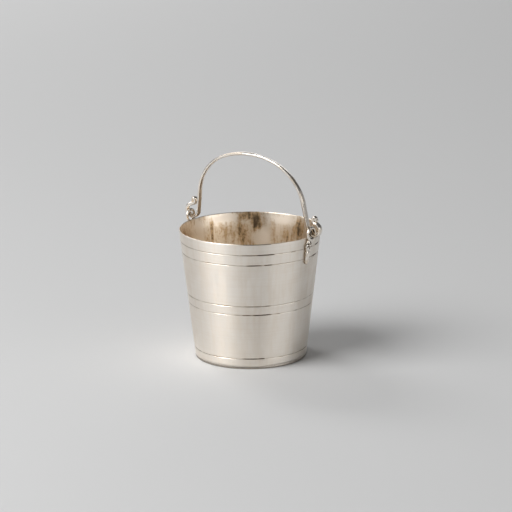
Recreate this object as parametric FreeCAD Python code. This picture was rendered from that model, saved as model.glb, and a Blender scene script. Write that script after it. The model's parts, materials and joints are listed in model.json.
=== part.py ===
# A miniature silver pail: a tapered sheet wall scored with hoop lines, a base disc soldered under it,
# two cast ears soldered outside the rim, and a strip bail whose hooked ends hang in the ears' eyes.
# Lengths are in millimetres and angles in degrees. The origin is the centre of the underside,
# +Z is up, and the ears stand on the X axis.
import FreeCAD, Part
import math
import os
from FreeCAD import Vector

os.makedirs("parts", exist_ok=True)

# Wall: one sheet, rolled to a cone and soldered down its seam
pail_height = 34.85
rim_radius = 19.0
foot_radius = 14.95
wall_thick = 0.45

# Hoop lines scored round the wall, at shares of the pail's height
hoop_height_shares = (0.081, 0.436, 0.507, 0.833, 0.915)
hoop_width = 0.34
hoop_depth = 0.10

# Seam of the wall, seen inside and outside as a fine vertical line
seam_angle = 125.0
seam_width = 0.20
seam_depth = 0.06

# Base disc, under the wall's foot
base_thick = 0.60
base_bevel = 0.15

# Ears: a cast ring on a domed drop that lies against the wall
ear_length = 7.3
ear_width = 2.5
ear_thick = 0.85
ear_tip_thick = 0.50
ear_dome_depth = 0.90
eye_rise = 0.90
eye_stand = 0.65
eye_hole_radius = 1.00
ring_wire = 0.58
ring_flats = 8

# Half outline of the drop, from the neck to the tip: shares of half the ear's width and of its length.
# The second and third columns of each row are the arc's middle and the arc's end.
drop_neck_share = 0.50
drop_neck_length_share = 0.13
drop_arc_shares = (
    ((1.04, 0.30), (0.66, 0.50)),
    ((0.82, 0.575), (0.56, 0.65)),
    ((0.36, 0.77), (0.30, 0.88)),
    ((0.36, 0.965), (0.0, 1.0)),
)

# Rosette on the drop: a bead in a ring of dimples punched with a faceted tool
rosette_height_share = 0.31
bead_radius = 0.34
bead_height = 0.30
bead_top_share = 0.55
dimple_radius = 0.15
dimple_depth = 0.22
dimple_ring_radius = 0.64
dimple_count = 6
dimple_sides = 6

# Bail: a strip with bevelled outer edges, bent to an arch and hooked at both ends
bail_rise = 19.7
bail_shoulder_radius = 13.5
strip_width = 1.45
strip_thick = 0.66
strip_bevel = 0.12
bail_top_angle = 22.0
leg_splay = 9.3
bail_lean = 5.3

# Hooks: they pass outward through the eyes, turn up, narrow and end in a small curl with a rolled end
hook_bend_radius = 1.90
hook_outer_radius = 1.90
hook_width = 1.40
hook_bevel = 0.20
tip_run = 1.60
tip_curl_radius = 0.50
tip_width = 0.90
tip_thick = 0.50
tip_bevel = 0.15
roll_radius = 0.42
roll_width = 1.00
hook_turn = 150.0
tip_turn = 200.0
side_gap = 0.31

# One overrun serves all cuts
overrun = 1.0

# Values that follow from those above
taper = (rim_radius - foot_radius) / pail_height
pivot_height = pail_height + eye_rise
eye_x = rim_radius + eye_stand
bail_shift = hook_outer_radius - strip_thick / 2 - ring_wire / 2 - side_gap


def outer_radius(height):
    """Radius of the pail's outside at a height."""
    return foot_radius + taper * height


def cone_solid(low, high, inset=0.0):
    """A frustum inside the pail's outer surface, inset from it, between two heights."""
    return Part.makeCone(outer_radius(low) - inset, outer_radius(high) - inset, high - low,
                         Vector(0, 0, low))


def turned(points):
    """The solid that an outline in the XZ plane, given as (radius, height), sweeps about the axis."""
    outline = Part.makePolygon([Vector(radius, 0, height) for radius, height in points + points[:1]])
    return Part.Face(outline).revolve(Vector(), Vector(0, 0, 1), 360)


# Wall
def hoop_cutter(height):
    """A V-shaped ring that scores one hoop line."""
    low, high = height - hoop_width / 2, height + hoop_width / 2
    return turned([(outer_radius(low), low), (outer_radius(low) + overrun, low),
                   (outer_radius(high) + overrun, high), (outer_radius(high), high),
                   (outer_radius(height) - hoop_depth, height)])


def seam_cutter(inset, open_side):
    """A V-shaped groove along a straight line of the cone; open_side is 1 outside and -1 inside."""
    face = outer_radius(0) - inset
    half = seam_width / 2
    section = [Vector(face - open_side * seam_depth, 0, 0), Vector(face, half, 0),
               Vector(face + open_side * overrun, half, 0), Vector(face + open_side * overrun, -half, 0),
               Vector(face, -half, 0)]
    run = Vector(taper * pail_height, 0, pail_height)
    cutter = Part.Face(Part.makePolygon(section + section[:1])).extrude(run)
    return cutter.rotate(Vector(), Vector(0, 0, 1), seam_angle)


def make_wall():
    """The tapered wall, from the top of the base disc to the rim, which is filed flat."""
    foot = outer_radius(base_thick)
    wall = turned([(foot - wall_thick, base_thick), (foot, base_thick),
                   (rim_radius, pail_height), (rim_radius - wall_thick, pail_height)])
    cutters = [hoop_cutter(share * pail_height) for share in hoop_height_shares]
    cutters += [seam_cutter(0, 1), seam_cutter(wall_thick, -1)]
    return wall.cut(Part.Compound(cutters))


# Base disc
def make_base():
    """The disc that closes the foot, flush with the wall and bevelled at its lower edge."""
    return turned([(0, 0), (foot_radius - base_bevel, 0), (outer_radius(base_bevel), base_bevel),
                   (outer_radius(base_thick), base_thick), (0, base_thick)])


# Ears
def dome_radius(depth):
    """Radius of the cone that rounds the drop's front, at a depth below the rim."""
    share = depth / ear_length
    return ear_dome_depth + ear_thick + (ear_tip_thick - ear_thick) * share


def drop_front(y, depth):
    """Distance of the drop's front from the pail's axis."""
    centre = outer_radius(pail_height - depth) - ear_dome_depth
    return centre + math.sqrt(dome_radius(depth) ** 2 - y ** 2)


def drop_outline():
    """The drop's outline as a face in the YZ plane, drawn down one side and mirrored."""
    half_width = ear_width / 2

    def place(shares, side):
        return Vector(0, side * shares[0] * half_width, pail_height - shares[1] * ear_length)

    edges = []
    for side in (1, -1):
        top = place((drop_neck_share, 0.0), side)
        start = place((drop_neck_share, drop_neck_length_share), side)
        edges.append(Part.LineSegment(top, start).toShape())
        for middle, end in drop_arc_shares:
            edges.append(Part.Arc(start, place(middle, side), place(end, side)).toShape())
            start = place(end, side)
    top_line = Part.LineSegment(place((drop_neck_share, 0.0), 1), place((drop_neck_share, 0.0), -1))
    edges.append(top_line.toShape())
    return Part.Face(Part.Wire(Part.__sortEdges__(edges)))


def make_drop():
    """The domed drop, its back cut to the wall's cone."""
    reach = outer_radius(pail_height) + ear_thick + overrun
    plate = drop_outline().extrude(Vector(reach, 0, 0))
    down = Vector(-taper, 0, -1)
    length = (ear_length + overrun) * math.sqrt(1 + taper ** 2)
    top = Vector(outer_radius(pail_height + overrun) - ear_dome_depth, 0, pail_height + overrun)
    dome = Part.makeCone(dome_radius(-overrun), dome_radius(ear_length), length, top, down)
    dome = dome.fuse(Part.makeSphere(dome_radius(ear_length), top + down * (ear_length + overrun)))
    drop = plate.common(dome)
    return drop.cut(cone_solid(pail_height - ear_length - overrun, pail_height + overrun))


def corners_round(radius, count):
    """Offsets to the corners of a regular polygon with this many sides, closed."""
    angles = [2 * math.pi * (index + 0.5) / count for index in range(count + 1)]
    return [(radius * math.cos(angle), radius * math.sin(angle)) for angle in angles]


def rosette_punches(depth):
    """Faceted punches along X, on a circle round the rosette's middle."""
    punches = []
    for ring_y, ring_z in corners_round(dimple_ring_radius, dimple_count)[1:]:
        front = drop_front(ring_y, depth - ring_z)
        centre = Vector(front - dimple_depth, ring_y, pail_height - depth + ring_z)
        corners = [centre + Vector(0, y, z) for y, z in corners_round(dimple_radius, dimple_sides)]
        punches.append(Part.Face(Part.makePolygon(corners)).extrude(Vector(overrun, 0, 0)))
    return Part.Compound(punches)


def make_bead(depth):
    """The rosette's bead: a taper on a foot that is sunk into the drop."""
    outward = Vector(1, 0, 0)
    front = Vector(drop_front(bead_radius, depth), 0, pail_height - depth)
    foot = Part.makeCylinder(bead_radius, bead_radius, front - outward * bead_radius, outward)
    return [foot, Part.makeCone(bead_radius, bead_top_share * bead_radius, bead_height, front, outward)]


def make_eye_ring():
    """The ring that the bail hangs in, its wire filed to flats."""
    middle = Vector(eye_x, 0, pivot_height)
    centre = middle + Vector(0, 0, eye_hole_radius + ring_wire / 2)
    section = [centre + Vector(x, 0, z) for x, z in corners_round(ring_wire / 2, ring_flats)]
    return Part.Face(Part.makePolygon(section)).revolve(middle, Vector(1, 0, 0), 360)


def make_ear():
    """One cast ear, on the +X side."""
    rosette_depth = rosette_height_share * ear_length
    drop = make_drop().cut(rosette_punches(rosette_depth))
    ear = drop.fuse([make_eye_ring()] + make_bead(rosette_depth))
    return ear.cut(cone_solid(pail_height - ear_length - overrun, pail_height)).removeSplitter()


# Bail
class StripPen:
    """Draws a strip in the XZ plane as tangent arcs and straight runs, one solid for each."""

    def __init__(self, x, z, heading, section):
        self.place = Vector(x, 0, z)
        self.heading = heading
        self.section = section
        self.solids = []

    def ahead(self):
        angle = math.radians(self.heading)
        return Vector(math.cos(angle), 0, math.sin(angle))

    def leftward(self):
        ahead = self.ahead()
        return Vector(-ahead.z, 0, ahead.x)

    def outline(self):
        """The strip's cross-section here: a rectangle, bevelled at its two outer corners."""
        width, thick, bevel = self.section
        left, across = self.leftward(), Vector(0, 1, 0)
        wide, tall = width / 2, thick / 2
        corners = ((wide, tall - bevel), (wide - bevel, tall), (bevel - wide, tall), (-wide, tall - bevel),
                   (-wide, -tall), (wide, -tall), (wide, tall - bevel))
        return Part.makePolygon([self.place + across * y + left * n for y, n in corners])

    def arc(self, radius, turn):
        """Turns left for a positive angle and right for a negative one."""
        sign = 1 if turn > 0 else -1
        centre = self.place + self.leftward() * (sign * radius)
        face = Part.Face(self.outline())
        self.solids.append(face.revolve(centre, Vector(0, -sign, 0), abs(turn)))
        self.heading += turn
        self.place = centre - self.leftward() * (sign * radius)

    def roll(self, radius, width):
        """Ends the strip in a small roll across it, bevelled at both ends."""
        ahead, half, bevel = self.ahead(), width / 2, self.section[2]
        corners = ((0, -half), (radius - bevel, -half), (radius, bevel - half),
                   (radius, half - bevel), (radius - bevel, half), (0, half), (0, -half))
        face = Part.Face(Part.makePolygon([self.place + ahead * n + Vector(0, y, 0) for n, y in corners]))
        self.solids.append(face.revolve(self.place, Vector(0, 1, 0), 360))

    def line(self, length, end_section=None):
        """Runs straight, to another section where one is given."""
        start = self.outline()
        self.place = self.place + self.ahead() * length
        self.section = end_section or self.section
        self.solids.append(Part.makeLoft([start, self.outline()], True, True))


def arch_radius(leg_top_reach):
    """Radius of the top arc that joins the shoulders, for legs at this distance along their normal."""
    splay, both = math.radians(leg_splay), math.radians(leg_splay + bail_top_angle)
    rest = leg_top_reach - bail_shoulder_radius * (1 - math.sin(both)) - bail_rise * math.sin(splay)
    return rest / (math.sin(both) - math.sin(splay))


def make_half_bail():
    """Half of the bail, upright, with the hinge axis through the origin."""
    splay = math.radians(leg_splay)
    hook_low = math.sqrt(hook_outer_radius ** 2 - bail_shift ** 2) - hook_outer_radius
    leg_x = eye_x - hook_bend_radius * math.cos(splay)
    leg_z = hook_low + hook_bend_radius * (1 - math.sin(splay))
    top_radius = arch_radius(leg_x * math.cos(splay) + leg_z * math.sin(splay))
    strip = (strip_width, strip_thick, strip_bevel)
    hook = (hook_width, strip_thick, hook_bevel)
    pen = StripPen(0, bail_rise, 0, strip)
    pen.arc(top_radius, -bail_top_angle)
    pen.arc(bail_shoulder_radius, -(90 - bail_top_angle - leg_splay))
    pen.line((pen.place.z - leg_z) / math.cos(splay), hook)
    pen.arc(hook_bend_radius, 90 - leg_splay)
    pen.arc(hook_outer_radius, hook_turn)
    pen.line(tip_run, (tip_width, tip_thick, tip_bevel))
    pen.arc(tip_curl_radius, -tip_turn)
    pen.roll(roll_radius, roll_width)
    return pen.solids


def make_bail():
    """The whole bail, pushed to one side and leaning, as it stands in its ears."""
    half = make_half_bail()
    other = [solid.mirror(Vector(), Vector(1, 0, 0)) for solid in half]
    bail = half[0].fuse(half[1:] + other).removeSplitter()
    bail.translate(Vector(bail_shift, 0, 0))
    bail.rotate(Vector(), Vector(1, 0, 0), bail_lean)
    bail.translate(Vector(0, 0, pivot_height))
    return bail


ear = make_ear()
nodes = {
    "wall": make_wall(),
    "base_disc": make_base(),
    "ear_right": ear,
    "ear_left": ear.copy().rotate(Vector(), Vector(0, 0, 1), 180),
    "bail": make_bail(),
}
for name, shape in nodes.items():
    print(name, "solids", len(shape.Solids), "valid", shape.isValid(), "volume", round(shape.Volume, 3))
    shape.Solids[0].exportStep(f"parts/{name}.step")
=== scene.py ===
import functools
import json
import math
import bpy
from mathutils import Matrix, Vector, noise


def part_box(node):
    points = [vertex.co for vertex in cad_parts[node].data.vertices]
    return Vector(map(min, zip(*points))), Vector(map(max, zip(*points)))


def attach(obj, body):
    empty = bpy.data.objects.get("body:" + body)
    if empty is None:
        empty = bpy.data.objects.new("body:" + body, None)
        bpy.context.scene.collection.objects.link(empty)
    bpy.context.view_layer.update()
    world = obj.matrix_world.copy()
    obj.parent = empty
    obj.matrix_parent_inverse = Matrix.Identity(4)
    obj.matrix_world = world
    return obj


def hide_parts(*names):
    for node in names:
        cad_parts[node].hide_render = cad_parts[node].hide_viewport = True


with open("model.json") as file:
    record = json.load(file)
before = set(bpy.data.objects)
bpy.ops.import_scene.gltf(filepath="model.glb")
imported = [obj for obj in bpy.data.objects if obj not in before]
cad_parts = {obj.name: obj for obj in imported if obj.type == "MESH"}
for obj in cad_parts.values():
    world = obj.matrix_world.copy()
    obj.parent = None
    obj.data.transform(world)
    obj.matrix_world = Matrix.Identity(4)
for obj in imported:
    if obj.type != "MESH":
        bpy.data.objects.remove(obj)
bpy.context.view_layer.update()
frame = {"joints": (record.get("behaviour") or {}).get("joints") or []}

MM = 0.001
TURN = 2 * math.pi

# Sizes that are read from the solids
wall_low, wall_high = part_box("wall")
disc_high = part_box("base_disc")[1]
pail_height = wall_high.z
rim_radius = wall_high.x
base_thick = wall_low.z
taper = (rim_radius - disc_high.x) / (pail_height - base_thick)
foot_radius = disc_high.x - taper * base_thick
pivot_height = frame["joints"][0]["pos_m"][2]

# Sizes of the solids that a box doesn't give
wall_thick = 0.45 * MM
seam_angle = math.radians(125.0)
hoop_height_shares = (0.081, 0.436, 0.507, 0.833, 0.915)
hoop_half_width = 0.17 * MM
ear_length = 7.3 * MM
ear_width = 2.5 * MM
eye_x = rim_radius + 0.65 * MM
ring_wire = 0.58 * MM
strip_width = 1.45 * MM
strip_thick = 0.66 * MM
bail_rise = 19.7 * MM
bail_shoulder_radius = 13.5 * MM
bail_top_angle = math.radians(22.0)
leg_splay = math.radians(9.3)
bail_lean = math.radians(5.3)
hook_radius = 1.90 * MM
hook_width = 1.45 * MM
roll_radius = 0.42 * MM
side_gap = 0.31 * MM
bail_shift = hook_radius - strip_thick / 2 - ring_wire / 2 - side_gap


def outer_radius(height):
    """Radius of the pail's outside at a height."""
    return foot_radius + taper * height


def smooth_step(low, high, value):
    """0 below low and 1 above high, with a soft change between them."""
    share = min(max((value - low) / (high - low), 0.0), 1.0)
    return share * share * (3 - 2 * share)


def bump(value, middle, reach):
    """1 at the middle, falling softly to 0 at the reach on both sides."""
    return 1 - smooth_step(0.0, reach, abs(value - middle))


@functools.lru_cache(maxsize=60000)
def ring_noise(angle, height, around, along, seed):
    """Smooth noise on the cone, from about -1 to 1, which closes on itself around."""
    place = Vector((math.cos(angle) * around, math.sin(angle) * around, height * along + seed))
    return noise.noise(place)


def wrapped(angle):
    """An angle brought between minus and plus half a turn."""
    return (angle + math.pi) % TURN - math.pi


# Meshes
def make_object(name, points, faces, materials, attributes=None, face_slots=None):
    """A smooth mesh object, with point attributes for its materials to read."""
    mesh = bpy.data.meshes.new(name)
    mesh.from_pydata(points, [], faces)
    for material in materials:
        mesh.materials.append(material)
    for key, values in (attributes or {}).items():
        layer = mesh.attributes.new(key, "FLOAT", "POINT")
        layer.data.foreach_set("value", values)
    if face_slots:
        mesh.polygons.foreach_set("material_index", face_slots)
    mesh.polygons.foreach_set("use_smooth", [True] * len(mesh.polygons))
    mesh.validate()
    mesh.update()
    piece = bpy.data.objects.new(name, mesh)
    bpy.context.scene.collection.objects.link(piece)
    return piece


def grid_faces(rows, columns, close_rows=False):
    """Quads between the rows of a grid whose columns close on themselves."""
    faces = []
    for row in range(rows if close_rows else rows - 1):
        above = (row + 1) % rows
        for column in range(columns):
            beside = (column + 1) % columns
            faces.append((row * columns + column, row * columns + beside,
                          above * columns + beside, above * columns + column))
    return faces


def dress(piece, body, node):
    """Puts a finished piece in the place of a solid."""
    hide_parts(node)
    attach(piece, body)
    return piece


# Materials

# Numbers of the colour sockets on a Mix node
mix_share, mix_first, mix_second, mix_result = 0, 6, 7, 2


class Shader:
    """One material's nodes, added by short calls."""

    def __init__(self, name):
        self.material = bpy.data.materials.new(name)
        self.material.use_nodes = True
        self.tree = self.material.node_tree
        self.surface = self.tree.nodes["Principled BSDF"]
        self.object_place = self.add("ShaderNodeTexCoord").outputs["Object"]

    def add(self, kind, **settings):
        """A new node of this kind, with its settings."""
        node = self.tree.nodes.new(kind)
        for key, value in settings.items():
            setattr(node, key, value)
        return node

    def feed(self, socket, value):
        """Links an output to a socket, or writes a plain value there."""
        if isinstance(value, bpy.types.NodeSocket):
            self.tree.links.new(value, socket)
        else:
            socket.default_value = value

    def math(self, operation, first, second=0.0):
        """The sum, product or other result of two values."""
        node = self.add("ShaderNodeMath", operation=operation)
        self.feed(node.inputs[0], first)
        self.feed(node.inputs[1], second)
        return node.outputs[0]

    def attribute(self, name):
        """A value that the mesh holds at each of its points."""
        return self.add("ShaderNodeAttribute", attribute_name=name).outputs["Fac"]

    def stretched(self, source, scale, seed=0.0):
        """A place vector, scaled by a different number along each axis."""
        node = self.add("ShaderNodeMapping")
        self.feed(node.inputs["Vector"], source)
        node.inputs["Location"].default_value = (seed, seed, seed)
        node.inputs["Scale"].default_value = scale
        return node.outputs[0]

    def noise(self, source, scale=1.0, detail=3.0, rough=0.55):
        """Cloudy noise, mostly near 0.5; the scale is in clouds per metre."""
        node = self.add("ShaderNodeTexNoise")
        self.feed(node.inputs["Vector"], source)
        node.inputs["Scale"].default_value = scale
        node.inputs["Detail"].default_value = detail
        node.inputs["Roughness"].default_value = rough
        return node.outputs["Fac"]

    def spread(self, value, low, high, to_low=0.0, to_high=1.0):
        """Maps a range of values softly to another range."""
        node = self.add("ShaderNodeMapRange", interpolation_type="SMOOTHSTEP")
        self.feed(node.inputs["Value"], value)
        limits = (low, high, to_low, to_high)
        for key, limit in zip(("From Min", "From Max", "To Min", "To Max"), limits):
            self.feed(node.inputs[key], limit)
        return node.outputs[0]

    def blend(self, share, first, second):
        """A colour between two colours."""
        node = self.add("ShaderNodeMix", data_type="RGBA")
        self.feed(node.inputs[mix_share], share)
        self.feed(node.inputs[mix_first], first)
        self.feed(node.inputs[mix_second], second)
        return node.outputs[mix_result]

    def relief(self, height, depth, strength=1.0, under=None):
        """A bump of this depth, in metres, on top of another."""
        node = self.add("ShaderNodeBump")
        node.inputs["Strength"].default_value = strength
        node.inputs["Distance"].default_value = depth
        self.feed(node.inputs["Height"], height)
        if under is not None:
            self.feed(node.inputs["Normal"], under)
        return node.outputs[0]

    def brush_round(self, amount):
        """Spreads reflections up and down, as fine lines drawn round the pail do."""
        tangent = self.add("ShaderNodeTangent", direction_type="RADIAL", axis="Z")
        self.feed(self.surface.inputs["Tangent"], tangent.outputs[0])
        self.surface.inputs["Anisotropic"].default_value = amount
        self.surface.inputs["Anisotropic Rotation"].default_value = 0.25

    def finish_metal(self, colour, roughness, normal):
        """Makes the surface a metal with this colour, roughness and relief."""
        self.feed(self.surface.inputs["Base Color"], colour)
        self.surface.inputs["Metallic"].default_value = 1.0
        self.feed(self.surface.inputs["Roughness"], roughness)
        self.feed(self.surface.inputs["Normal"], normal)
        return self.material


clean_silver = (0.930, 0.872, 0.798, 1)
warm_silver_light = (0.895, 0.825, 0.740, 1)
rubbed_silver = (0.930, 0.840, 0.730, 1)
warm_silver = (0.800, 0.695, 0.565, 1)
tan_tarnish = (0.620, 0.450, 0.275, 1)
# Brown and dark serve as tarnish, and also as painted shade and painted dark reflections on the rim,
# ears and bail
brown_tarnish_and_painted_shade = (0.300, 0.215, 0.130, 1)
deep_tarnish = (0.130, 0.092, 0.058, 1)
dark_tarnish_and_painted_shade = (0.045, 0.032, 0.022, 1)
painted_shade_grey = (0.240, 0.208, 0.170, 1)


def outside_silver():
    """Satin sheet silver, brushed round and burnished upright, with dark left in the scored lines and a
    painted dark reflection on a stretch of the rim's edge.
    """
    shader = Shader("outside_silver")
    place = shader.object_place
    cloud = shader.noise(place, 150.0, 4.0)
    upright = shader.noise(shader.stretched(place, (900.0, 900.0, 60.0)), 1.0, 3.0)
    round_lines = shader.noise(shader.stretched(place, (40.0, 40.0, 3500.0)), 1.0, 3.0)
    fine = shader.noise(place, 9000.0, 3.0, 0.7)
    colour = shader.blend(shader.spread(cloud, 0.42, 0.72), clean_silver, warm_silver_light)
    colour = shader.blend(shader.spread(upright, 0.40, 0.70, 0.0, 0.22), colour, warm_silver)
    colour = shader.blend(shader.spread(round_lines, 0.40, 0.70, 0.0, 0.15), colour, warm_silver)
    # Dark in the scored lines and the seam, and a painted dark reflection on the rim's edge
    groove_and_painted_rim_reflection = shader.attribute("groove_and_painted_rim_reflection")
    colour = shader.blend(shader.spread(groove_and_painted_rim_reflection, 0.0, 0.7), colour, brown_tarnish_and_painted_shade)
    colour = shader.blend(shader.spread(groove_and_painted_rim_reflection, 0.6, 1.1), colour, dark_tarnish_and_painted_shade)
    split = shader.add("ShaderNodeSeparateXYZ")
    shader.feed(split.inputs["Vector"], place)
    height = split.outputs["Z"]
    roughness = shader.spread(height, 0.1 * pail_height, 0.6 * pail_height, 0.40, 0.44)
    roughness = shader.math("ADD", roughness, shader.spread(cloud, 0.3, 0.7, -0.03, 0.03))
    roughness = shader.math("ADD", roughness, shader.spread(upright, 0.3, 0.7, -0.04, 0.04))
    roughness = shader.math("SUBTRACT", roughness, shader.math("MULTIPLY", groove_and_painted_rim_reflection, 0.30))
    shader.brush_round(0.75)
    normal = shader.relief(cloud, 0.050 * MM, 0.6)
    normal = shader.relief(upright, 0.006 * MM, 0.6, normal)
    normal = shader.relief(round_lines, 0.003 * MM, 0.4, normal)
    normal = shader.relief(fine, 0.002 * MM, 0.4, normal)
    return shader.finish_metal(colour, roughness, normal)


def inside_silver():
    """The pail's inside: rubbed bright in places, mottled, with brown stains that run down."""
    shader = Shader("inside_silver")
    place = shader.object_place
    stain_and_painted_shade = shader.attribute("stain_and_painted_shade")
    rubbed = shader.attribute("rubbed")
    runs = shader.noise(shader.stretched(place, (1100.0, 1100.0, 110.0)), 1.0, 5.0, 0.65)
    wide_runs = shader.noise(shader.stretched(place, (330.0, 330.0, 40.0), 2.0), 1.0, 3.0)
    specks = shader.noise(place, 1500.0, 4.0, 0.65)
    stained = shader.math("ADD", stain_and_painted_shade, shader.spread(runs, 0.38, 0.68, -0.24, 0.22))
    stained = shader.math("ADD", stained, shader.spread(wide_runs, 0.40, 0.65, -0.14, 0.20))
    stained = shader.math("ADD", stained, shader.spread(specks, 0.40, 0.68, -0.14, 0.22))
    stained = shader.math("SUBTRACT", stained, rubbed)
    warm = shader.blend(shader.spread(stained, -0.45, 0.05), rubbed_silver, warm_silver)
    tan = shader.blend(shader.spread(stained, 0.0, 0.40), warm, tan_tarnish)
    brown = shader.blend(shader.spread(stained, 0.40, 0.75), tan, brown_tarnish_and_painted_shade)
    colour = shader.blend(shader.spread(stained, 0.70, 1.00), brown, deep_tarnish)
    roughness = shader.spread(stained, 0.0, 0.8, 0.34, 0.46)
    roughness = shader.math("ADD", roughness, shader.math("MULTIPLY", rubbed, 0.10))
    normal = shader.relief(runs, 0.010 * MM, 0.7)
    normal = shader.relief(specks, 0.004 * MM, 0.6, normal)
    return shader.finish_metal(colour, roughness, normal)


def base_silver():
    """The base disc: crossed rubbing scratches, with painted grey shade beside the wall and a painted
    grey contact shadow along its foot edge.
    """
    shader = Shader("base_silver")
    place = shader.object_place
    cloud = shader.noise(place, 160.0, 4.0)
    scratches = shader.noise(shader.stretched(place, (2500.0, 120.0, 300.0)), 1.0, 3.0)
    crossed = shader.noise(shader.stretched(place, (150.0, 2200.0, 300.0), 3.0), 1.0, 3.0)
    colour = shader.blend(shader.spread(cloud, 0.40, 0.70), clean_silver, warm_silver_light)
    # Painted shade: grey painted as a contact shadow along the foot's edge, and as shade on the top
    # beside the wall
    colour = shader.blend(shader.attribute("stain_and_painted_shade"), colour, painted_shade_grey)
    roughness = shader.spread(scratches, 0.3, 0.7, 0.28, 0.40)
    normal = shader.relief(scratches, 0.005 * MM, 0.7)
    normal = shader.relief(crossed, 0.004 * MM, 0.6, normal)
    return shader.finish_metal(colour, roughness, normal)


def cast_silver():
    """Cast silver: bright on the high spots, darker in the chased marks, with painted shade in the eye
    and low down beside the wall; faintly pitted.
    """
    shader = Shader("cast_silver")
    place = shader.object_place
    grain = shader.noise(place, 2600.0, 4.0, 0.65)
    cloud = shader.noise(place, 500.0, 3.0)
    painted_shade_and_dark_marks = shader.attribute("painted_shade_and_dark_marks")
    colour = shader.blend(shader.spread(cloud, 0.40, 0.70), clean_silver, warm_silver)
    hollow = shader.math("ADD", painted_shade_and_dark_marks, shader.spread(grain, 0.5, 0.8, -0.05, 0.25))
    brown = shader.blend(shader.spread(hollow, 0.10, 0.45), colour, brown_tarnish_and_painted_shade)
    colour = shader.blend(shader.spread(hollow, 0.40, 0.80), brown, dark_tarnish_and_painted_shade)
    roughness = shader.spread(hollow, 0.0, 0.7, 0.16, 0.40)
    normal = shader.relief(grain, 0.010 * MM, 0.6)
    normal = shader.relief(cloud, 0.030 * MM, 0.5, normal)
    return shader.finish_metal(colour, roughness, normal)


def bail_silver():
    """Polished strip, faintly uneven, with painted shade in the eyes and a painted dark reflection along
    one edge.
    """
    shader = Shader("bail_silver")
    place = shader.object_place
    cloud = shader.noise(place, 350.0, 3.0)
    fine = shader.noise(place, 4200.0, 3.0, 0.6)
    painted_shade_and_dark_marks = shader.attribute("painted_shade_and_dark_marks")
    colour = shader.blend(shader.spread(cloud, 0.45, 0.75), clean_silver, warm_silver)
    # Painted shade and painted dark reflection, in brown
    colour = shader.blend(shader.spread(painted_shade_and_dark_marks, 0.0, 0.8), colour, brown_tarnish_and_painted_shade)
    roughness = shader.spread(cloud, 0.35, 0.65, 0.18, 0.26)
    normal = shader.relief(cloud, 0.040 * MM, 0.5)
    normal = shader.relief(fine, 0.003 * MM, 0.5, normal)
    return shader.finish_metal(colour, roughness, normal)


# Wall
column_count = 400
coarse_row = 0.60 * MM
fine_row = 0.06 * MM
fine_reach = 0.48 * MM
rim_round = 0.17 * MM
rim_steps = 5
hoop_depth = 0.11 * MM
hoop_burr = 0.006 * MM
hoop_burr_middle = 1.7
hoop_burr_spread = 0.55
hoop_cut_power = 1.4
hoop_reach = 4
hoop_pressure = 0.65
slow_pressure = 0.50
quick_pressure = 0.45
hoop_wander = 0.10 * MM
groove_dark = 0.65
dash_edge = (0.6, 1.2)
# Strength of the painted dark reflection on the rim's edge
rim_painted_reflection = 1.3
out_of_round = 0.04 * MM
sheet_dents = 0.022 * MM
inner_flutes = 0.030 * MM
rim_flare = 0.12 * MM
rim_flare_from = 0.90
rim_wave = 0.06 * MM
rim_wave_from = 0.93
seam_half_width = 0.12 * MM
seam_depth = 0.05 * MM
seam_dark = 0.4
foot_stiff_height = 2.0 * MM
hoop_wander_reach = 1.1 * MM

# How far the edges of the patches inside wander, in degrees and as a share of the height, and how
# soft they are, as shares of a patch's half width
patch_drift = 5.0
patch_drift_share = 0.02
patch_edge = (0.45, 1.25)

# Stains inside: angle round the pail in degrees, height share, half width in degrees,
# half height share and strength
inside_stain_shares = (
    (126.0, 0.970, 10.5, 0.045, 0.80),
    (118.5, 0.925, 6.5, 0.075, 0.90),
    (127.0, 0.820, 12.0, 0.110, 0.45),
    (149.0, 0.850, 9.0, 0.070, 0.42),
    (77.0, 0.900, 8.0, 0.090, 0.72),
    (90.0, 0.830, 9.0, 0.060, 0.35),
    (161.0, 0.880, 3.5, 0.110, 0.85),
    (179.0, 0.925, 0.8, 0.100, 0.60),
    (-161.0, 0.900, 3.0, 0.070, 0.40),
    (-45.0, 0.950, 6.0, 0.060, 0.60),
    (-95.0, 0.940, 4.0, 0.060, 0.60),
    (-140.0, 0.900, 6.0, 0.110, 0.50),
)

# Places inside that are rubbed bright, in the same form
inside_rubbed_shares = (
    (146.5, 0.965, 12.5, 0.035, 0.9),
    (113.0, 0.800, 8.5, 0.075, 1.3),
    (95.5, 0.950, 11.0, 0.040, 0.6),
    (176.0, 0.890, 9.0, 0.090, 0.60),
    (-60.0, 0.500, 115.0, 0.550, 0.3),
)

# Stretches of the scored lines that are pressed deeper and drawn darker: the line's number
# from the foot, the middle of the stretch and half its length in degrees, and its strength.
# The rim's edge counts as one more line; its stretch is a painted dark reflection, with no groove.
rim_line = 5
hoop_dashes = (
    (4, -42.5, 7.5, 1.0), (4, -56.0, 6.5, 0.55), (4, -18.0, 3.0, 0.4),
    (3, -51.5, 6.5, 0.9), (3, -40.5, 3.5, 0.9), (3, -90.0, 9.0, 0.35),
    (2, -49.0, 12.0, 0.6), (2, -78.0, 5.0, 0.35), (1, -45.0, 8.0, 0.8), (1, -59.0, 4.0, 0.6),
    (1, -84.0, 4.0, 0.4), (0, -55.0, 8.0, 0.7), (0, -44.5, 3.0, 1.0), (0, -88.0, 7.0, 0.5),
    (4, 16.5, 4.5, 1.3), (3, 13.5, 4.5, 1.0), (rim_line, -49.5, 12.5, 1.0),
)


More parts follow.
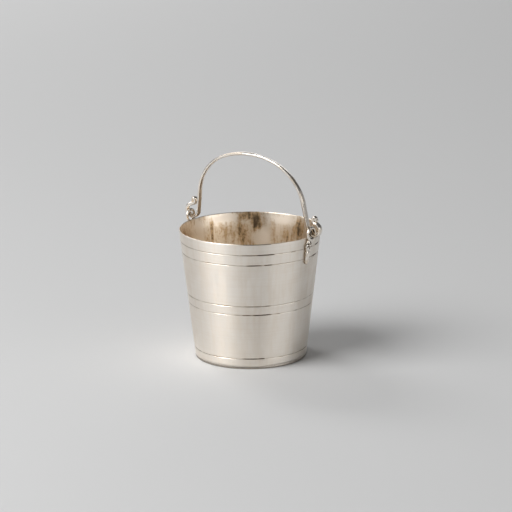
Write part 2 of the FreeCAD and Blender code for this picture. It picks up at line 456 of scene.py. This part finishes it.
def wall_rows():
    """(height, how far through the sheet from its outside, 0 to 1) for each row of the wall's grid."""
    top = pail_height - rim_round
    count = round((top - base_thick) / coarse_row)
    heights = {base_thick + (top - base_thick) * row / count for row in range(count + 1)}
    hoops = [share * pail_height for share in hoop_height_shares]
    heights = {z for z in heights if all(abs(z - hoop) > fine_reach for hoop in hoops)}
    reach = round(fine_reach / fine_row)
    for hoop in hoops:
        heights |= {hoop + step * fine_row for step in range(-reach, reach + 1)}
    rows = [(z, 0.0) for z in sorted(heights)]
    round_share = rim_round / wall_thick
    for step in range(1, rim_steps + 1):
        angle = math.pi / 2 * step / rim_steps
        rows.append((top + rim_round * math.sin(angle), round_share * (1 - math.cos(angle))))
    for step in range(rim_steps + 1):
        angle = math.pi / 2 * step / rim_steps
        rows.append((top + rim_round * math.cos(angle), 1 - round_share * (1 - math.sin(angle))))
    rows += [(top - (top - base_thick) * row / count, 1.0) for row in range(1, count + 1)]
    return rows


def dash_here(index, angle):
    """How much deeper and darker this scored line is here; on the rim's edge, how strong the painted
    dark reflection is.
    """
    degrees = math.degrees(angle)
    extra = 0.0
    for line, middle, half_length, strength in hoop_dashes:
        if line == index:
            away = abs((degrees - middle + 180) % 360 - 180) / half_length
            extra = max(extra, strength * (1 - smooth_step(*dash_edge, away)))
    return extra


def hoop_relief(angle, height):
    """How far the scored lines move the surface outward here, and how deep inside one this is."""
    relief, inside = 0.0, 0.0
    for index, share in enumerate(hoop_height_shares):
        offset = (height - share * pail_height) / hoop_half_width
        if abs(offset) > hoop_reach:
            continue
        pressure = hoop_pressure + slow_pressure * ring_noise(angle, 0, 2.2, 0, 11.0 + 7 * index)
        quick = quick_pressure * ring_noise(angle, 0, 9.0, 0, 13.0 + 7 * index)
        pressure += quick + dash_here(index, angle)
        cut = max(0.0, 1 - abs(offset) ** hoop_cut_power)
        ridge = math.exp(-((abs(offset) - hoop_burr_middle) / hoop_burr_spread) ** 2)
        relief += pressure * (hoop_burr * ridge - hoop_depth * cut)
        inside = max(inside, pressure * cut)
    return relief, inside


def hoop_shift(angle, height):
    """How far a scored line wanders up or down here, because it was drawn by hand."""
    shift = 0.0
    for index, share in enumerate(hoop_height_shares):
        if abs(height - share * pail_height) < hoop_wander_reach:
            near = bump(height, share * pail_height, hoop_wander_reach)
            shift += near * hoop_wander * ring_noise(angle, 0, 0.9, 0, 31.0 + 5 * index)
    return shift


def wall_radius(angle, height, through):
    """Distance of the wall's surface from the axis."""
    radius = outer_radius(height) - through * wall_thick
    radius -= out_of_round * (0.5 + 0.5 * ring_noise(angle, height, 0.7, 18.0, 3.0))
    soft = ring_noise(angle, height, 3.0, 120.0, 51.0)
    foot_hold = smooth_step(0.0, foot_stiff_height, height - base_thick)
    radius += sheet_dents * foot_hold * (soft - 0.6)
    if through > 0.5:
        flutes = ring_noise(angle, height, 7.0, 22.0, 61.0)
        flutes += 0.6 * ring_noise(angle, height, 17.0, 40.0, 67.0)
        near_rim = smooth_step(rim_flare_from, 1.0, height / pail_height)
        radius += inner_flutes * flutes + rim_flare * near_rim
    return radius


def patch_here(patches, angle, height):
    """Strength at this place of the strongest patch in a list of them."""
    strength = 0.0
    degrees = math.degrees(angle) + patch_drift * ring_noise(angle, height, 9.0, 260.0, 91.0)
    drift = patch_drift_share * ring_noise(angle, height, 14.0, 200.0, 97.0)
    share_here = height / pail_height + drift
    for middle, share, half_width, half_height, dark in patches:
        across = abs((degrees - middle + 180) % 360 - 180) / half_width
        along = abs(share_here - share) / half_height
        away = math.hypot(across, along)
        strength = max(strength, dark * (1 - smooth_step(*patch_edge, away)))
    return strength


def make_wall():
    """The tapered sheet, with its scored lines, soft dents, seam and hand-filed rim."""
    rows = wall_rows()
    points, groove_and_painted_rim_reflection, stain_and_painted_shade, rubbed, face_slots = [], [], [], [], []
    for height, through in rows:
        for column in range(column_count):
            angle = seam_angle + TURN * column / column_count
            relief, inside = (0.0, 0.0) if through else hoop_relief(angle, height)
            radius = wall_radius(angle, height, through) + relief
            off_seam = abs(wrapped(angle - seam_angle)) * outer_radius(height)
            seam = seam_depth * bump(off_seam, 0.0, seam_half_width)
            radius += seam if through > 0.5 else -seam
            lift = 0.0 if through > 0.5 else hoop_shift(angle, height)
            near_rim = smooth_step(rim_wave_from, 1.0, height / pail_height)
            lift -= rim_wave * near_rim * (0.5 + 0.5 * ring_noise(angle, 0, 1.6, 0, 71.0))
            points.append((radius * math.cos(angle), radius * math.sin(angle), height + lift))
            # Painted reflection: a dark stroke on the rim's rounded edge
            if 0 < through < 0.6:
                inside = rim_painted_reflection * dash_here(rim_line, angle)
            groove_and_painted_rim_reflection.append(inside * groove_dark + (seam_dark if seam > 0 else 0.0))
            stain_and_painted_shade.append(patch_here(inside_stain_shares, angle, height) if through > 0.5 else 0.0)
            rubbed.append(patch_here(inside_rubbed_shares, angle, height) if through > 0.5 else 0.0)
    faces = grid_faces(len(rows), column_count, close_rows=True)
    for height, through in rows:
        face_slots += [1 if through > 0.5 else 0] * column_count
    materials = [outside_silver(), inside_silver()]
    piece = make_object("wall_sheet", points, faces, materials,
                        {"groove_and_painted_rim_reflection": groove_and_painted_rim_reflection, "stain_and_painted_shade": stain_and_painted_shade, "rubbed": rubbed}, face_slots)
    return dress(piece, "pail", "wall")


# Base disc
solder_fillet = 0.35 * MM
base_round = 0.08 * MM
base_rings = 26
base_columns = 240
base_dent = 0.02 * MM
foot_edge_width = 0.30 * MM
foot_edge_painted_shadow = 0.85
corner_painted_shade = 0.75
corner_edge = (0.80, 0.97)
fillet_lap = 0.3 * wall_thick


def base_profile():
    """The base's half outline from the middle of its underside round to the middle of its top."""
    edge = outer_radius(0) - 0.5 * out_of_round
    profile = [((edge - base_round) * ring / base_rings, 0.0) for ring in range(base_rings + 1)]
    for step in range(1, rim_steps + 1):
        angle = math.pi / 2 * step / rim_steps
        profile.append((edge - base_round * (1 - math.sin(angle)), base_round * (1 - math.cos(angle))))
    inner = outer_radius(base_thick) - wall_thick - out_of_round
    profile.append((outer_radius(base_thick) - 0.5 * out_of_round, base_thick))
    profile.append((inner + fillet_lap, base_thick + solder_fillet))
    for step in range(rim_steps + 1):
        angle = math.pi / 2 * step / rim_steps
        profile.append((inner - solder_fillet * math.sin(angle),
                        base_thick + solder_fillet * (1 - math.sin(angle))))
    profile += [((inner - solder_fillet) * (1 - ring / base_rings), base_thick)
                for ring in range(1, base_rings + 1)]
    return profile


def make_base():
    """The disc that closes the foot, with a thin solder fillet inside."""
    points, stain_and_painted_shade = [], []
    profile = base_profile()
    for radius, height in profile[1:-1]:
        for column in range(base_columns):
            angle = TURN * column / base_columns
            dent = base_dent * ring_noise(angle, radius, radius / (4 * MM), 150.0, 83.0)
            top = height > 0.5 * base_thick
            points.append((radius * math.cos(angle), radius * math.sin(angle),
                           height + (dent if top else 0.0)))
            # Painted shade beside the wall on the top, and a painted contact shadow along the
            # underside's edge
            near_wall = smooth_step(*corner_edge, radius / foot_radius) if top else 0.0
            at_foot_edge = height < 0.5 * base_thick and radius > foot_radius - foot_edge_width
            stain_and_painted_shade.append(foot_edge_painted_shadow if at_foot_edge else corner_painted_shade * near_wall)
    faces = grid_faces(len(profile) - 2, base_columns)
    low, high = len(points), len(points) + 1
    points += [(0.0, 0.0, 0.0), (0.0, 0.0, base_thick)]
    stain_and_painted_shade += [0.0, 0.0]
    last = (len(profile) - 3) * base_columns
    for column in range(base_columns):
        beside = (column + 1) % base_columns
        faces.append((low, beside, column))
        faces.append((high, last + column, last + beside))
    piece = make_object("base_plate", points, faces, [base_silver()], {"stain_and_painted_shade": stain_and_painted_shade})
    return dress(piece, "pail", "base_disc")


# Ears
ear_voxel = 0.060 * MM
eye_open_radius = 1.14 * MM
eye_wire = 0.70 * MM
eye_depth = 0.86 * MM
eye_inset = 0.06 * MM
ear_dome = 0.85 * MM
ear_tip_dome = 0.55 * MM
drop_rows = 60
drop_columns = 22
drop_crown_power = 2.4
drop_edge_height = 0.30
drop_crown_height = 0.70
drop_below_rim = 0.17 * MM
drop_sink = 0.06 * MM
rosette_depth = 0.285 * ear_length
rosette_ring = 0.78 * MM
rosette_bead = 0.34 * MM
bead_sink = 0.08 * MM
bead_line_radius = 0.42 * MM
bead_line_reach = 0.13 * MM
bead_line_depth = 0.35
chased_from = 0.25 * MM
chased_dark = 2.0
# Painted shade: low on the drop beside the wall, and in the ring round the eye's opening
wall_side_painted_shade = 0.42
wall_side_reach = (0.05 * MM, 0.80 * MM)
wall_side_top = pail_height + 0.1 * MM
eye_dark_ring = (eye_open_radius + 0.02 * MM, eye_open_radius + 0.26 * MM)
ring_swell = 0.05
cast_lumps = 0.012 * MM
cast_lump_size = 0.45 * MM
dimple_radius = 0.33 * MM
dimple_floor = 0.35 * dimple_radius
dimple_depth = 0.24 * MM
dimple_count = 6
drop_width_shares = ((0.0, 0.50), (0.13, 0.50), (0.20, 0.82), (0.30, 1.04), (0.41, 0.92), (0.50, 0.66),
                     (0.575, 0.84), (0.65, 0.70), (0.77, 0.60), (0.88, 0.56), (0.955, 0.52), (1.0, 0.14))

# Where the drop is thinner: how much, and the middle and reach of the place as shares of its length
drop_pinches = ((0.22, 0.50, 0.07), (0.18, 0.10, 0.08))


def drop_half_width(share):
    """Half the drop's width at a share of its length, smooth between the listed places."""
    for (low, low_width), (high, high_width) in zip(drop_width_shares, drop_width_shares[1:]):
        if share <= high:
            part = smooth_step(low, high, share)
            return ear_width / 2 * (low_width + (high_width - low_width) * part)
    return ear_width / 2 * drop_width_shares[-1][1]


def drop_surface(u, share):
    """How far the drop's front stands off the wall: u runs from -1 to 1 across."""
    height = ear_dome + (ear_tip_dome - ear_dome) * share
    crown = (1 - abs(u) ** drop_crown_power) ** 0.5
    waist = 1.0
    for amount, middle, reach in drop_pinches:
        waist -= amount * bump(share, middle, reach)
    return height * (drop_edge_height + drop_crown_height * crown) * waist


def drop_mesh(offset, skew):
    """The domed drop as a closed grid, its back against the wall's cone."""
    points = []
    top_share = drop_below_rim / ear_length
    for row in range(drop_rows + 1):
        share = top_share + (1 - top_share) * row / drop_rows
        height = pail_height - share * ear_length
        half = drop_half_width(share)
        shift = offset + skew * share
        wall_x = outer_radius(height)
        for column in range(drop_columns):
            u = 2 * column / (drop_columns - 1) - 1
            points.append((wall_x + drop_surface(u, share), half * u + shift, height))
        for column in range(drop_columns):
            u = 1 - 2 * column / (drop_columns - 1)
            bend = rim_radius - math.sqrt(rim_radius ** 2 - (half * u) ** 2)
            points.append((wall_x - drop_sink - bend, half * u + shift, height))
    columns = 2 * drop_columns
    faces = grid_faces(drop_rows + 1, columns)
    faces.append(tuple(reversed(range(columns))))
    faces.append(tuple(range(drop_rows * columns, (drop_rows + 1) * columns)))
    return points, faces


def ring_mesh(middle, hole, wire, depth, wobble_seed):
    """A ring about an axis along X, a little uneven as cast; wire is its thickness along X."""
    around, section = 48, 20
    points = []
    for step in range(around):
        angle = TURN * step / around
        swell = 1 + ring_swell * noise.noise(Vector((math.cos(angle), math.sin(angle), wobble_seed)))
        for side in range(section):
            turn = TURN * side / section
            out = hole + depth / 2 + depth / 2 * swell * math.cos(turn)
            points.append((middle[0] + wire / 2 * swell * math.sin(turn),
                           middle[1] + out * math.sin(angle), middle[2] + out * math.cos(angle)))
    return points, grid_faces(around, section, close_rows=True)


def ball_mesh(middle, radius):
    """A small ball of quads."""
    rings, section = 10, 16
    points = []
    for ring in range(1, rings):
        angle = math.pi * ring / rings
        for side in range(section):
            turn = TURN * side / section
            points.append((middle[0] + radius * math.cos(angle),
                           middle[1] + radius * math.sin(angle) * math.cos(turn),
                           middle[2] + radius * math.sin(angle) * math.sin(turn)))
    faces = grid_faces(rings - 1, section)
    faces.append(tuple(reversed(range(section))))
    faces.append(tuple(range((rings - 2) * section, (rings - 1) * section)))
    return points, faces


def fused(name, shells, voxel, smoothing):
    """One skin round several closed shells, softened as a casting is."""
    points, faces = [], []
    for shell_points, shell_faces in shells:
        start = len(points)
        points += shell_points
        faces += [tuple(start + corner for corner in face) for face in shell_faces]
    piece = make_object(name, points, faces, [])
    remesh = piece.modifiers.new("skin", "REMESH")
    remesh.mode = "VOXEL"
    remesh.voxel_size = voxel
    soften = piece.modifiers.new("soften", "SMOOTH")
    soften.factor = 0.5
    soften.iterations = smoothing
    graph = bpy.context.evaluated_depsgraph_get()
    mesh = bpy.data.meshes.new_from_object(piece.evaluated_get(graph))
    old = piece.data
    piece.modifiers.clear()
    piece.data = mesh
    bpy.data.meshes.remove(old)
    return piece


def wall_beside(height):
    """Radius of the wall's outside behind an ear, which reaches no higher than the rim."""
    return outer_radius(min(height, pail_height))


def chased_here(place, middle_y, middle_z):
    """How deep the rosette's dimples and the line round its bead are here, from 0 to 1."""
    if place.x <= wall_beside(place.z) + chased_from or place.z >= pail_height:
        return 0.0
    depth = 0.0
    for index in range(dimple_count):
        angle = TURN * (index + 0.5) / dimple_count
        dimple_y = middle_y + rosette_ring * math.cos(angle)
        dimple_z = middle_z + rosette_ring * math.sin(angle)
        away = math.hypot(place.y - dimple_y, place.z - dimple_z)
        depth = max(depth, 1 - smooth_step(dimple_floor, dimple_radius, away))
    off_line = abs(math.hypot(place.y - middle_y, place.z - middle_z) - bead_line_radius)
    return max(depth, bead_line_depth * bump(off_line, 0.0, bead_line_reach))


def dark_here(place, chased, eye_middle, eye_painted_shade):
    """How dark it is drawn here: in the chased marks, with painted shade in the eye and low down by the
    wall.
    """
    low = 1 - smooth_step(*wall_side_reach, place.x - wall_beside(place.z))
    beside_wall = wall_side_painted_shade * low if place.z < wall_side_top else 0.0
    from_eye = math.hypot(place.y - eye_middle[1], place.z - eye_middle[2])
    in_eye = 1 - smooth_step(*eye_dark_ring, from_eye)
    return max(chased_dark * chased, eye_painted_shade * in_eye, beside_wall)


def make_ear(side, offset, skew, eye_painted_shade, seed):
    """One cast ear, its drop a little askew; side is 1 on the right and -1 on the left."""
    rosette_share = rosette_depth / ear_length
    rosette_x = outer_radius(pail_height - rosette_depth) + drop_surface(0, rosette_share)
    rosette_y = offset + skew * rosette_share
    rosette_z = pail_height - rosette_depth
    eye_middle = (eye_x - eye_inset, 0, pivot_height)
    shells = [drop_mesh(offset, skew), ring_mesh(eye_middle, eye_open_radius, eye_wire, eye_depth, seed),
              ball_mesh((rosette_x - bead_sink, rosette_y, rosette_z), rosette_bead)]
    piece = fused("cast_ear_right" if side > 0 else "cast_ear_left", shells, ear_voxel, 3)
    painted_shade_and_dark_marks = []
    normals = [vertex.normal.copy() for vertex in piece.data.vertices]
    for vertex, normal in zip(piece.data.vertices, normals):
        place = vertex.co.copy()
        chased = chased_here(place, rosette_y, rosette_z)
        rough = noise.noise(place / cast_lump_size + Vector((seed, 0, 0)))
        place.x -= dimple_depth * chased
        vertex.co = place + normal * cast_lumps * rough
        # Painted shade in the eye and beside the wall, and darker chased marks
        painted_shade_and_dark_marks.append(dark_here(place, chased, eye_middle, eye_painted_shade))
    layer = piece.data.attributes.new("painted_shade_and_dark_marks", "FLOAT", "POINT")
    layer.data.foreach_set("value", painted_shade_and_dark_marks)
    if side < 0:
        piece.data.transform(Matrix.Rotation(math.pi, 4, "Z"))
    piece.data.materials.append(cast_material)
    piece.data.polygons.foreach_set("use_smooth", [True] * len(piece.data.polygons))
    return dress(piece, "pail", "ear_right" if side > 0 else "ear_left")


# Bail
class StripPath:
    """Walks a strip's middle line in the XZ plane, and notes a place at every short step."""

    def __init__(self, x, z, width, thick, squareness):
        self.x, self.z, self.heading = x, z, 0.0
        self.section = (width, thick, squareness)
        self.stops = []
        self.note()

    def note(self):
        """Keeps this place, heading and section as the next stop."""
        self.stops.append((self.x, self.z, self.heading) + self.section)

    def blend_section(self, start_section, end_section, share):
        """Changes the section evenly along a stretch."""
        self.section = tuple(a + (b - a) * share for a, b in zip(start_section, end_section))

    def arc(self, radius, turn, step, section=None):
        """Turns left for a positive angle and right for a negative one."""
        sign = 1 if turn > 0 else -1
        middle_x = self.x - sign * radius * math.sin(self.heading)
        middle_z = self.z + sign * radius * math.cos(self.heading)
        start, start_section = self.heading, self.section
        count = max(2, math.ceil(radius * abs(turn) / step))
        for index in range(1, count + 1):
            self.heading = start + turn * index / count
            self.x = middle_x + sign * radius * math.sin(self.heading)
            self.z = middle_z - sign * radius * math.cos(self.heading)
            self.blend_section(start_section, section or start_section, index / count)
            self.note()

    def line(self, length, step, section=None):
        """Runs straight, changing to another section where one is given."""
        start_x, start_z, start_section = self.x, self.z, self.section
        count = max(2, math.ceil(length / step))
        for index in range(1, count + 1):
            share = index / count
            self.x = start_x + length * share * math.cos(self.heading)
            self.z = start_z + length * share * math.sin(self.heading)
            self.blend_section(start_section, section or start_section, share)
            self.note()

    def roll_tip(self):
        """Ends the strip in a small round roll."""
        width = self.section[0]
        for index in range(1, tip_steps + 1):
            share = index / tip_steps
            swell = math.sqrt(max(0.0, 1 - (2 * share - 1) ** 2))
            ahead = share * 2 * roll_radius - 0.5 * roll_radius
            if ahead > 0:
                self.stops.append((self.x + ahead * math.cos(self.heading),
                                   self.z + ahead * math.sin(self.heading), self.heading,
                                   max(swell * width * tip_widening, least_section),
                                   max(swell * 2 * roll_radius, least_section), tip_square))


# Each hook is bent by hand: how much lower it hangs, then its bends from the eye to the tip,
# each with its radius, its turn in degrees, the run after it, and the strip's width and thickness
right_hook = (0.14 * MM, ((1.78 * MM, 168.0, 0.12 * MM, 1.45 * MM, 0.84 * MM),
                          (0.60 * MM, -85.0, 0.55 * MM, 1.25 * MM, 0.66 * MM),
                          (0.46 * MM, -165.0, 0.25 * MM, 1.05 * MM, 0.54 * MM)))
left_hook = (-0.10 * MM, ((1.79 * MM, 160.0, 1.55 * MM, 1.60 * MM, 1.02 * MM),
                          (0.52 * MM, -75.0, 0.45 * MM, 1.50 * MM, 0.90 * MM),
                          (0.42 * MM, -165.0, 0.20 * MM, 1.25 * MM, 0.66 * MM)))

# How square the strip's section is: 2 is an ellipse, and larger numbers are squarer
arch_square = 3.6
hook_square = 2.7
tip_square = 2.2

arch_step = 0.35 * MM
leg_step = 0.30 * MM
eye_step = 0.12 * MM
hook_step = 0.07 * MM
tip_steps = 12
tip_widening = 1.1
strip_points = 28
arch_swell = 0.11 * MM
# Painted dark reflection along one corner of the strip: strength, place round the section as a share of
# a turn, and reach; then painted shade where the strip runs through an eye
painted_edge_reflection = 0.85
painted_edge_reflection_turn = 0.375
painted_edge_reflection_reach = 0.045
in_eye_painted_shade = 0.45
in_eye_reach = (0.8 * MM, 2.0 * MM)
shoulder_twist = 0.32
shoulder_start = (0.5 * MM, 5.0 * MM)
shoulder_end = (14.5 * MM, 17.0 * MM)
uneven_width = 0.035
uneven_thick = 0.060
uneven_twist = 0.05
strip_sway = 0.10 * MM
least_section = 0.02 * MM


def half_bail(hook):
    """Stops along half of the bail, from its top to its rolled end, with the hinge at the origin."""
    lower, bends = hook
    hook_low = math.sqrt(hook_radius ** 2 - bail_shift ** 2) - hook_radius
    leg_x = eye_x - hook_radius * math.cos(leg_splay)
    leg_z = hook_low + hook_radius * (1 - math.sin(leg_splay))
    both = leg_splay + bail_top_angle
    rest = leg_x * math.cos(leg_splay) + leg_z * math.sin(leg_splay)
    rest -= bail_shoulder_radius * (1 - math.sin(both)) + bail_rise * math.sin(leg_splay)
    top_radius = rest / (math.sin(both) - math.sin(leg_splay))
    path = StripPath(0, bail_rise - 0.5 * arch_swell, strip_width, strip_thick + arch_swell, arch_square)
    path.arc(top_radius, -bail_top_angle, arch_step)
    path.arc(bail_shoulder_radius, -(TURN / 4 - bail_top_angle - leg_splay), arch_step)
    leg_section = (hook_width, strip_thick, arch_square)
    path.line((path.z - leg_z + lower) / math.cos(leg_splay), leg_step, leg_section)
    path.arc(hook_radius, TURN / 4 - leg_splay, eye_step)
    for radius, turn, run, width, thick in bends:
        path.arc(radius, math.radians(turn), hook_step, (width, thick, hook_square))
        path.line(run, hook_step)
    path.roll_tip()
    return path.stops


def strip_noise(x, z, size, seed):
    """Smooth noise along the strip, whose swells are about this size."""
    return noise.noise(Vector((x / size, z / size, seed)))


def strip_section(x, z, width, thick, squareness):
    """The strip's outline at a stop, as places across and up, uneven as forged and twisted."""
    wide = width * (1 + uneven_width * strip_noise(x, z, 3.0 * MM, 5.0))
    tall = thick * (1 + uneven_thick * strip_noise(x, z, 2.2 * MM, 9.0))
    twist = uneven_twist * strip_noise(x, z, 6 * MM, 19.0)
    on_shoulder = smooth_step(*shoulder_start, x) * (1 - smooth_step(*shoulder_end, x))
    twist += shoulder_twist * on_shoulder
    outline = []
    for index in range(strip_points):
        angle = TURN * (index + 0.5) / strip_points
        across = wide / 2 * math.copysign(abs(math.cos(angle)) ** (2 / squareness), math.cos(angle))
        up = tall / 2 * math.copysign(abs(math.sin(angle)) ** (2 / squareness), math.sin(angle))
        outline.append((across * math.cos(twist) + up * math.sin(twist),
                        up * math.cos(twist) - across * math.sin(twist)))
    return outline


def make_bail():
    """The bent strip, pushed to one side and leaning, as it stands in its ears."""
    stops = [(-x, z, -heading, w, t, s) for x, z, heading, w, t, s in reversed(half_bail(left_hook)[1:])]
    stops += half_bail(right_hook)
    points, painted_shade_and_dark_marks = [], []
    lean = Matrix.Rotation(bail_lean, 4, "X")
    place = Matrix.Translation((0, 0, pivot_height)) @ lean @ Matrix.Translation((bail_shift, 0, 0))
    for x, z, heading, width, thick, squareness in stops:
        sway = strip_sway * strip_noise(x, z, 9 * MM, 15.0)
        from_eye = math.hypot(abs(x) - eye_x, z)
        in_eye = in_eye_painted_shade * (1 - smooth_step(*in_eye_reach, from_eye))
        for index, (across, up) in enumerate(strip_section(x, z, width, thick, squareness)):
            point = Vector((x - up * math.sin(heading), across + sway, z + up * math.cos(heading)))
            points.append(place @ point)
            turn = (index + 0.5) / strip_points
            # Painted shade near the eyes, and a painted dark reflection line along one corner
            painted_shade_and_dark_marks.append(max(in_eye, painted_edge_reflection * bump(turn, painted_edge_reflection_turn, painted_edge_reflection_reach)))
    faces = grid_faces(len(stops), strip_points)
    faces.append(tuple(reversed(range(strip_points))))
    faces.append(tuple(range((len(stops) - 1) * strip_points, len(stops) * strip_points)))
    piece = make_object("bail_strip", points, faces, [bail_silver()], {"painted_shade_and_dark_marks": painted_shade_and_dark_marks})
    return dress(piece, "bail", "bail")


# Studio
camera_azimuth = math.radians(35.0)
camera_elevation = math.radians(13.64)
camera_roll = math.radians(0.51)
camera_distance = 0.600
photo_size_px = 512
focal_px = 2251.0
rim_centre_px = (249.92, 227.59)
sensor_width_mm = 36.0
floor_reach = 3.0
floor_grey = (0.640, 0.641, 0.641, 1)
card_grey = (0.50, 0.50, 0.50, 1)
room_grey = (0.105, 0.105, 0.105, 1)
backdrop_grey = (0.62, 0.62, 0.62, 1)
card_above_floor = 0.002

# Each soft light: its name, its place as a bearing, a distance and a height, its size in metres,
# its radiance and the place it is aimed at. The low, far scrims light the upright metal and
# leave the shadow on the floor.
at_pail = (0.0, 0.0, 0.5 * pail_height)
studio_lights = (
    ("key", (-62.0, 0.85, 0.90), (0.80, 0.80), 5.80, at_pail),
    ("left_scrim", (-66.0, 1.60, 0.45), (2.10, 0.78), 0.84, at_pail),
    ("left_floor_fill", (-66.0, 0.30, 0.25), (0.20, 0.20), 1.6, (-68.0, 0.17, 0.0)),
    ("right_scrim", (56.0, 1.60, 0.29), (1.66, 0.46), 2.2, at_pail),
    ("right_low_card", (112.0, 1.60, 0.21), (0.90, 0.40), 0.2, at_pail),
    ("back_scrim", (180.0, 1.60, 0.38), (1.44, 0.48), 1.2, at_pail),
    ("backdrop_wash", (-145.0, 1.25, 0.90), (0.60, 0.60), 7.2, (-172.0, 1.15, 0.0)),
)


def camera_axes():
    """The camera's right, up and forward directions before it is aimed."""
    back = Vector((math.sin(camera_azimuth) * math.cos(camera_elevation),
                   -math.cos(camera_azimuth) * math.cos(camera_elevation), math.sin(camera_elevation)))
    right = Vector((math.cos(camera_azimuth), math.sin(camera_azimuth), 0))
    up = right.cross(-back)
    return right, up, back


def make_camera():
    """The photograph's camera: it looks past the rim's centre, which isn't at the picture's middle."""
    right, up, back = camera_axes()
    rolled_right = right * math.cos(camera_roll) - up * math.sin(camera_roll)
    rolled_up = up * math.cos(camera_roll) + right * math.sin(camera_roll)
    middle = photo_size_px / 2
    aside = (rim_centre_px[0] - middle) / focal_px
    above = (middle - rim_centre_px[1]) / focal_px
    forward = (-back - rolled_right * aside - rolled_up * above).normalized()
    true_right = (rolled_right - forward * rolled_right.dot(forward)).normalized()
    true_up = true_right.cross(forward)
    data = bpy.data.cameras.new("camera")
    data.sensor_width = sensor_width_mm
    data.lens = focal_px / photo_size_px * sensor_width_mm
    data.clip_start = 0.01
    data.clip_end = 20.0
    camera = bpy.data.objects.new("camera", data)
    turn = Matrix((true_right, true_up, -forward)).transposed().to_4x4()
    camera.matrix_world = Matrix.Translation(Vector((0, 0, pail_height)) + back * camera_distance) @ turn
    bpy.context.scene.collection.objects.link(camera)
    bpy.context.scene.camera = camera


def studio_place(bearing, distance, height):
    """A place in the studio: bearing in degrees from the camera's side, to the right if positive."""
    turn = camera_azimuth + math.radians(bearing)
    return Vector((math.sin(turn) * distance, -math.cos(turn) * distance, height))


def soft_light(name, place, size, strength, aim):
    """A soft box; place and aim are bearings, distances and heights, strength is its radiance."""
    data = bpy.data.lights.new(name, "AREA")
    data.shape = "RECTANGLE"
    data.size, data.size_y = size
    data.energy = strength * size[0] * size[1] * math.pi
    lamp = bpy.data.objects.new(name, data)
    middle = studio_place(*place)
    facing = (studio_place(*aim) - middle).to_track_quat("-Z", "Y")
    lamp.matrix_world = Matrix.Translation(middle) @ facing.to_matrix().to_4x4()
    lamp.visible_camera = False
    bpy.context.scene.collection.objects.link(lamp)


def grey_card(name, bearing, distance, width, height):
    """A grey upright card in front of the pail, which the middle of its wall mirrors."""
    shader = Shader(name)
    shader.surface.inputs["Base Color"].default_value = card_grey
    shader.surface.inputs["Roughness"].default_value = 0.9
    middle = studio_place(bearing, distance, 0.0)
    aside = Vector((-middle.y, middle.x, 0)).normalized() * width / 2
    lift = Vector((0, 0, height))
    foot = Vector((0, 0, card_above_floor))
    points = [middle - aside + foot, middle + aside + foot, middle + aside + lift, middle - aside + lift]
    card = make_object(name, points, [(0, 1, 2, 3)], [shader.material])
    card.visible_camera = False


def make_floor():
    """A wide pale table top."""
    shader = Shader("table_top")
    shader.surface.inputs["Base Color"].default_value = floor_grey
    shader.surface.inputs["Roughness"].default_value = 0.75
    shader.surface.inputs["Specular IOR Level"].default_value = 0.15
    columns = 96
    angles = [TURN * step / columns for step in range(columns)]
    points = [(floor_reach * math.cos(angle), floor_reach * math.sin(angle), 0.0) for angle in angles]
    floor = make_object("floor", points, [tuple(range(columns))], [shader.material])


def make_world():
    """A dim grey room, which looks paler where the camera sees it directly."""
    world = bpy.data.worlds.new("room")
    world.use_nodes = True
    tree = world.node_tree
    background = tree.nodes["Background"]
    path = tree.nodes.new("ShaderNodeLightPath")
    colour = tree.nodes.new("ShaderNodeMix")
    colour.data_type = "RGBA"
    colour.inputs[mix_first].default_value = room_grey
    colour.inputs[mix_second].default_value = backdrop_grey
    tree.links.new(path.outputs["Is Camera Ray"], colour.inputs[mix_share])
    tree.links.new(colour.outputs[mix_result], background.inputs["Color"])
    bpy.context.scene.world = world


make_camera()
make_floor()
make_world()
grey_card("front_card", bearing=2.5, distance=0.75, width=0.52, height=1.10)
for name, place, size, strength, aim in studio_lights:
    soft_light(name, place, size, strength, aim)

cast_material = cast_silver()
make_wall()
make_base()
# Each ear gets its own strength of painted shade in its eye
make_ear(side=1, offset=-0.35 * MM, skew=-0.35 * MM, eye_painted_shade=0.9, seed=2.0)
make_ear(side=-1, offset=0.05 * MM, skew=0.10 * MM, eye_painted_shade=0.22, seed=8.0)
make_bail()

bpy.context.scene.view_settings.view_transform = "Standard"
